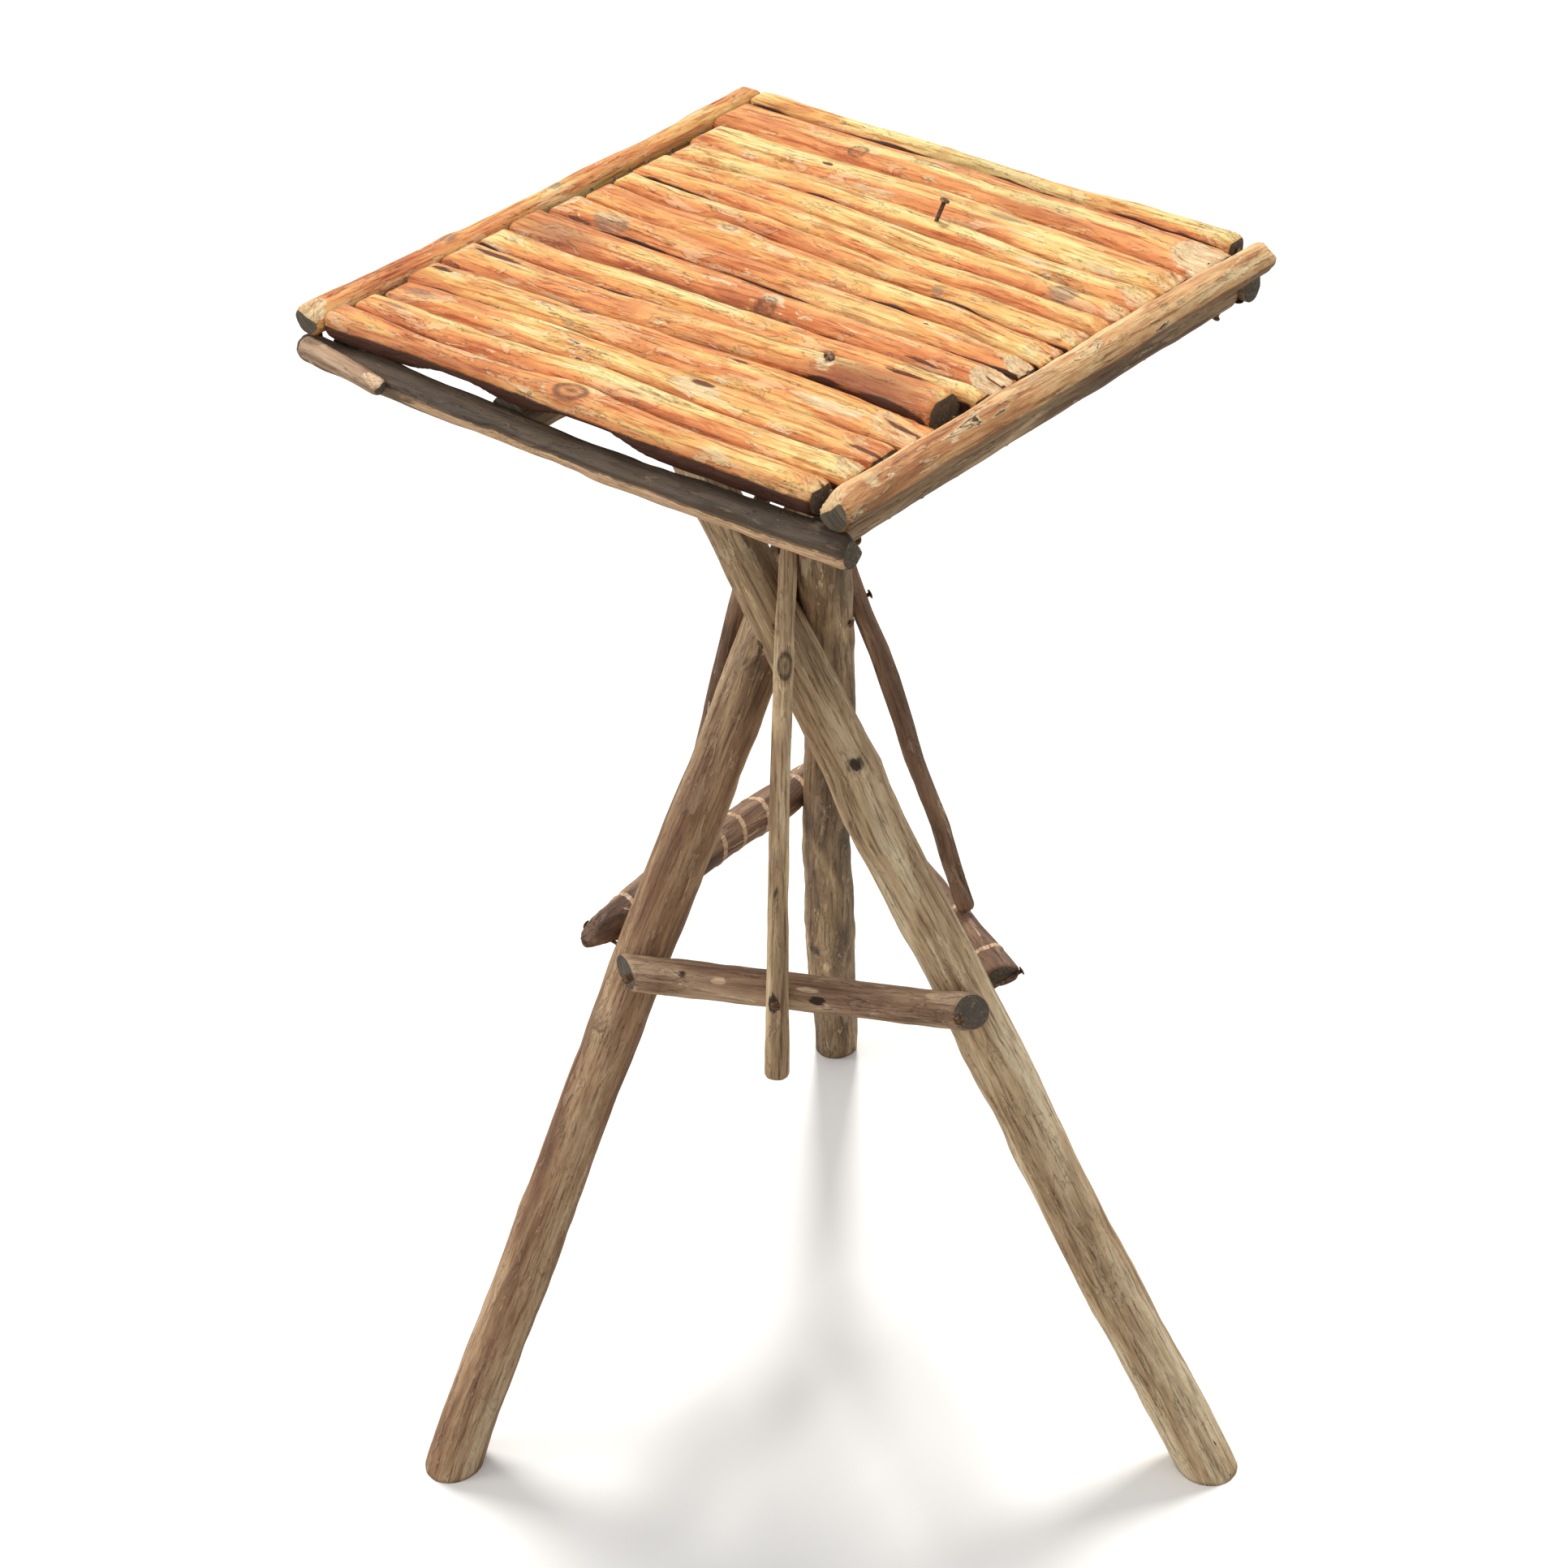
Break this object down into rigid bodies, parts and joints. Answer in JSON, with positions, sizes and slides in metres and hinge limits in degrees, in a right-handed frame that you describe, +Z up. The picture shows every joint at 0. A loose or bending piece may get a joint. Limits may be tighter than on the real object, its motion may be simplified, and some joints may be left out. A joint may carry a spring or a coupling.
{
  "type": "rustic side table",
  "caption": "Square table of peeled, unsplit hickory sticks nailed side by side over a crossed three-leg tripod with stretchers and thin braces",
  "frame": {"origin": "on the floor, under the middle of the whole table's bounding box", "axes": "+Z up; +X along the top's sticks from the left to the right edge; -Y is the front edge"},
  "size_m": [0.4778, 0.5006, 0.758],
  "materials": {
    "peeled_top_wood": "peeled round hickory under worn amber varnish, bark flecks and knots",
    "peeled_leg_wood": "peeled hickory, weathered olive brown, low sheen",
    "bark_stick_wood": "thin sticks with the inner bark left on, reddish brown, knife-cut ends",
    "nail_iron": "dull, slightly rusty wire nails"
  },
  "bodies": {
    "root": {"slat_01": "peeled_top_wood", "slat_02": "peeled_top_wood", "slat_03": "peeled_top_wood", "slat_04": "peeled_top_wood", "slat_05": "peeled_top_wood", "slat_06": "peeled_top_wood", "slat_07": "peeled_top_wood", "slat_08": "peeled_top_wood", "slat_09": "peeled_top_wood", "slat_10": "peeled_top_wood", "slat_11": "peeled_top_wood", "slat_12": "peeled_top_wood", "slat_13": "peeled_top_wood", "slat_14": "peeled_top_wood", "slat_15": "peeled_top_wood", "slat_16": "peeled_top_wood", "left_side_rail": "peeled_top_wood", "right_side_rail": "peeled_top_wood", "left_leg": "peeled_leg_wood", "right_leg": "peeled_leg_wood", "back_leg": "peeled_leg_wood", "left_bearer": "peeled_leg_wood", "centre_bearer": "peeled_leg_wood", "right_bearer": "peeled_leg_wood", "front_rail": "peeled_leg_wood", "back_rail": "peeled_leg_wood", "front_stretcher": "bark_stick_wood", "right_stretcher": "bark_stick_wood", "left_stretcher": "bark_stick_wood", "front_brace": "bark_stick_wood", "right_brace": "bark_stick_wood", "left_brace": "bark_stick_wood", "stretcher_nails": "nail_iron", "brace_nails": "nail_iron", "crossing_nails": "nail_iron", "leg_nails": "nail_iron", "slat_nails": "nail_iron", "rail_nails": "nail_iron", "bearer_nails": "nail_iron"}
  },
  "joints": []
}
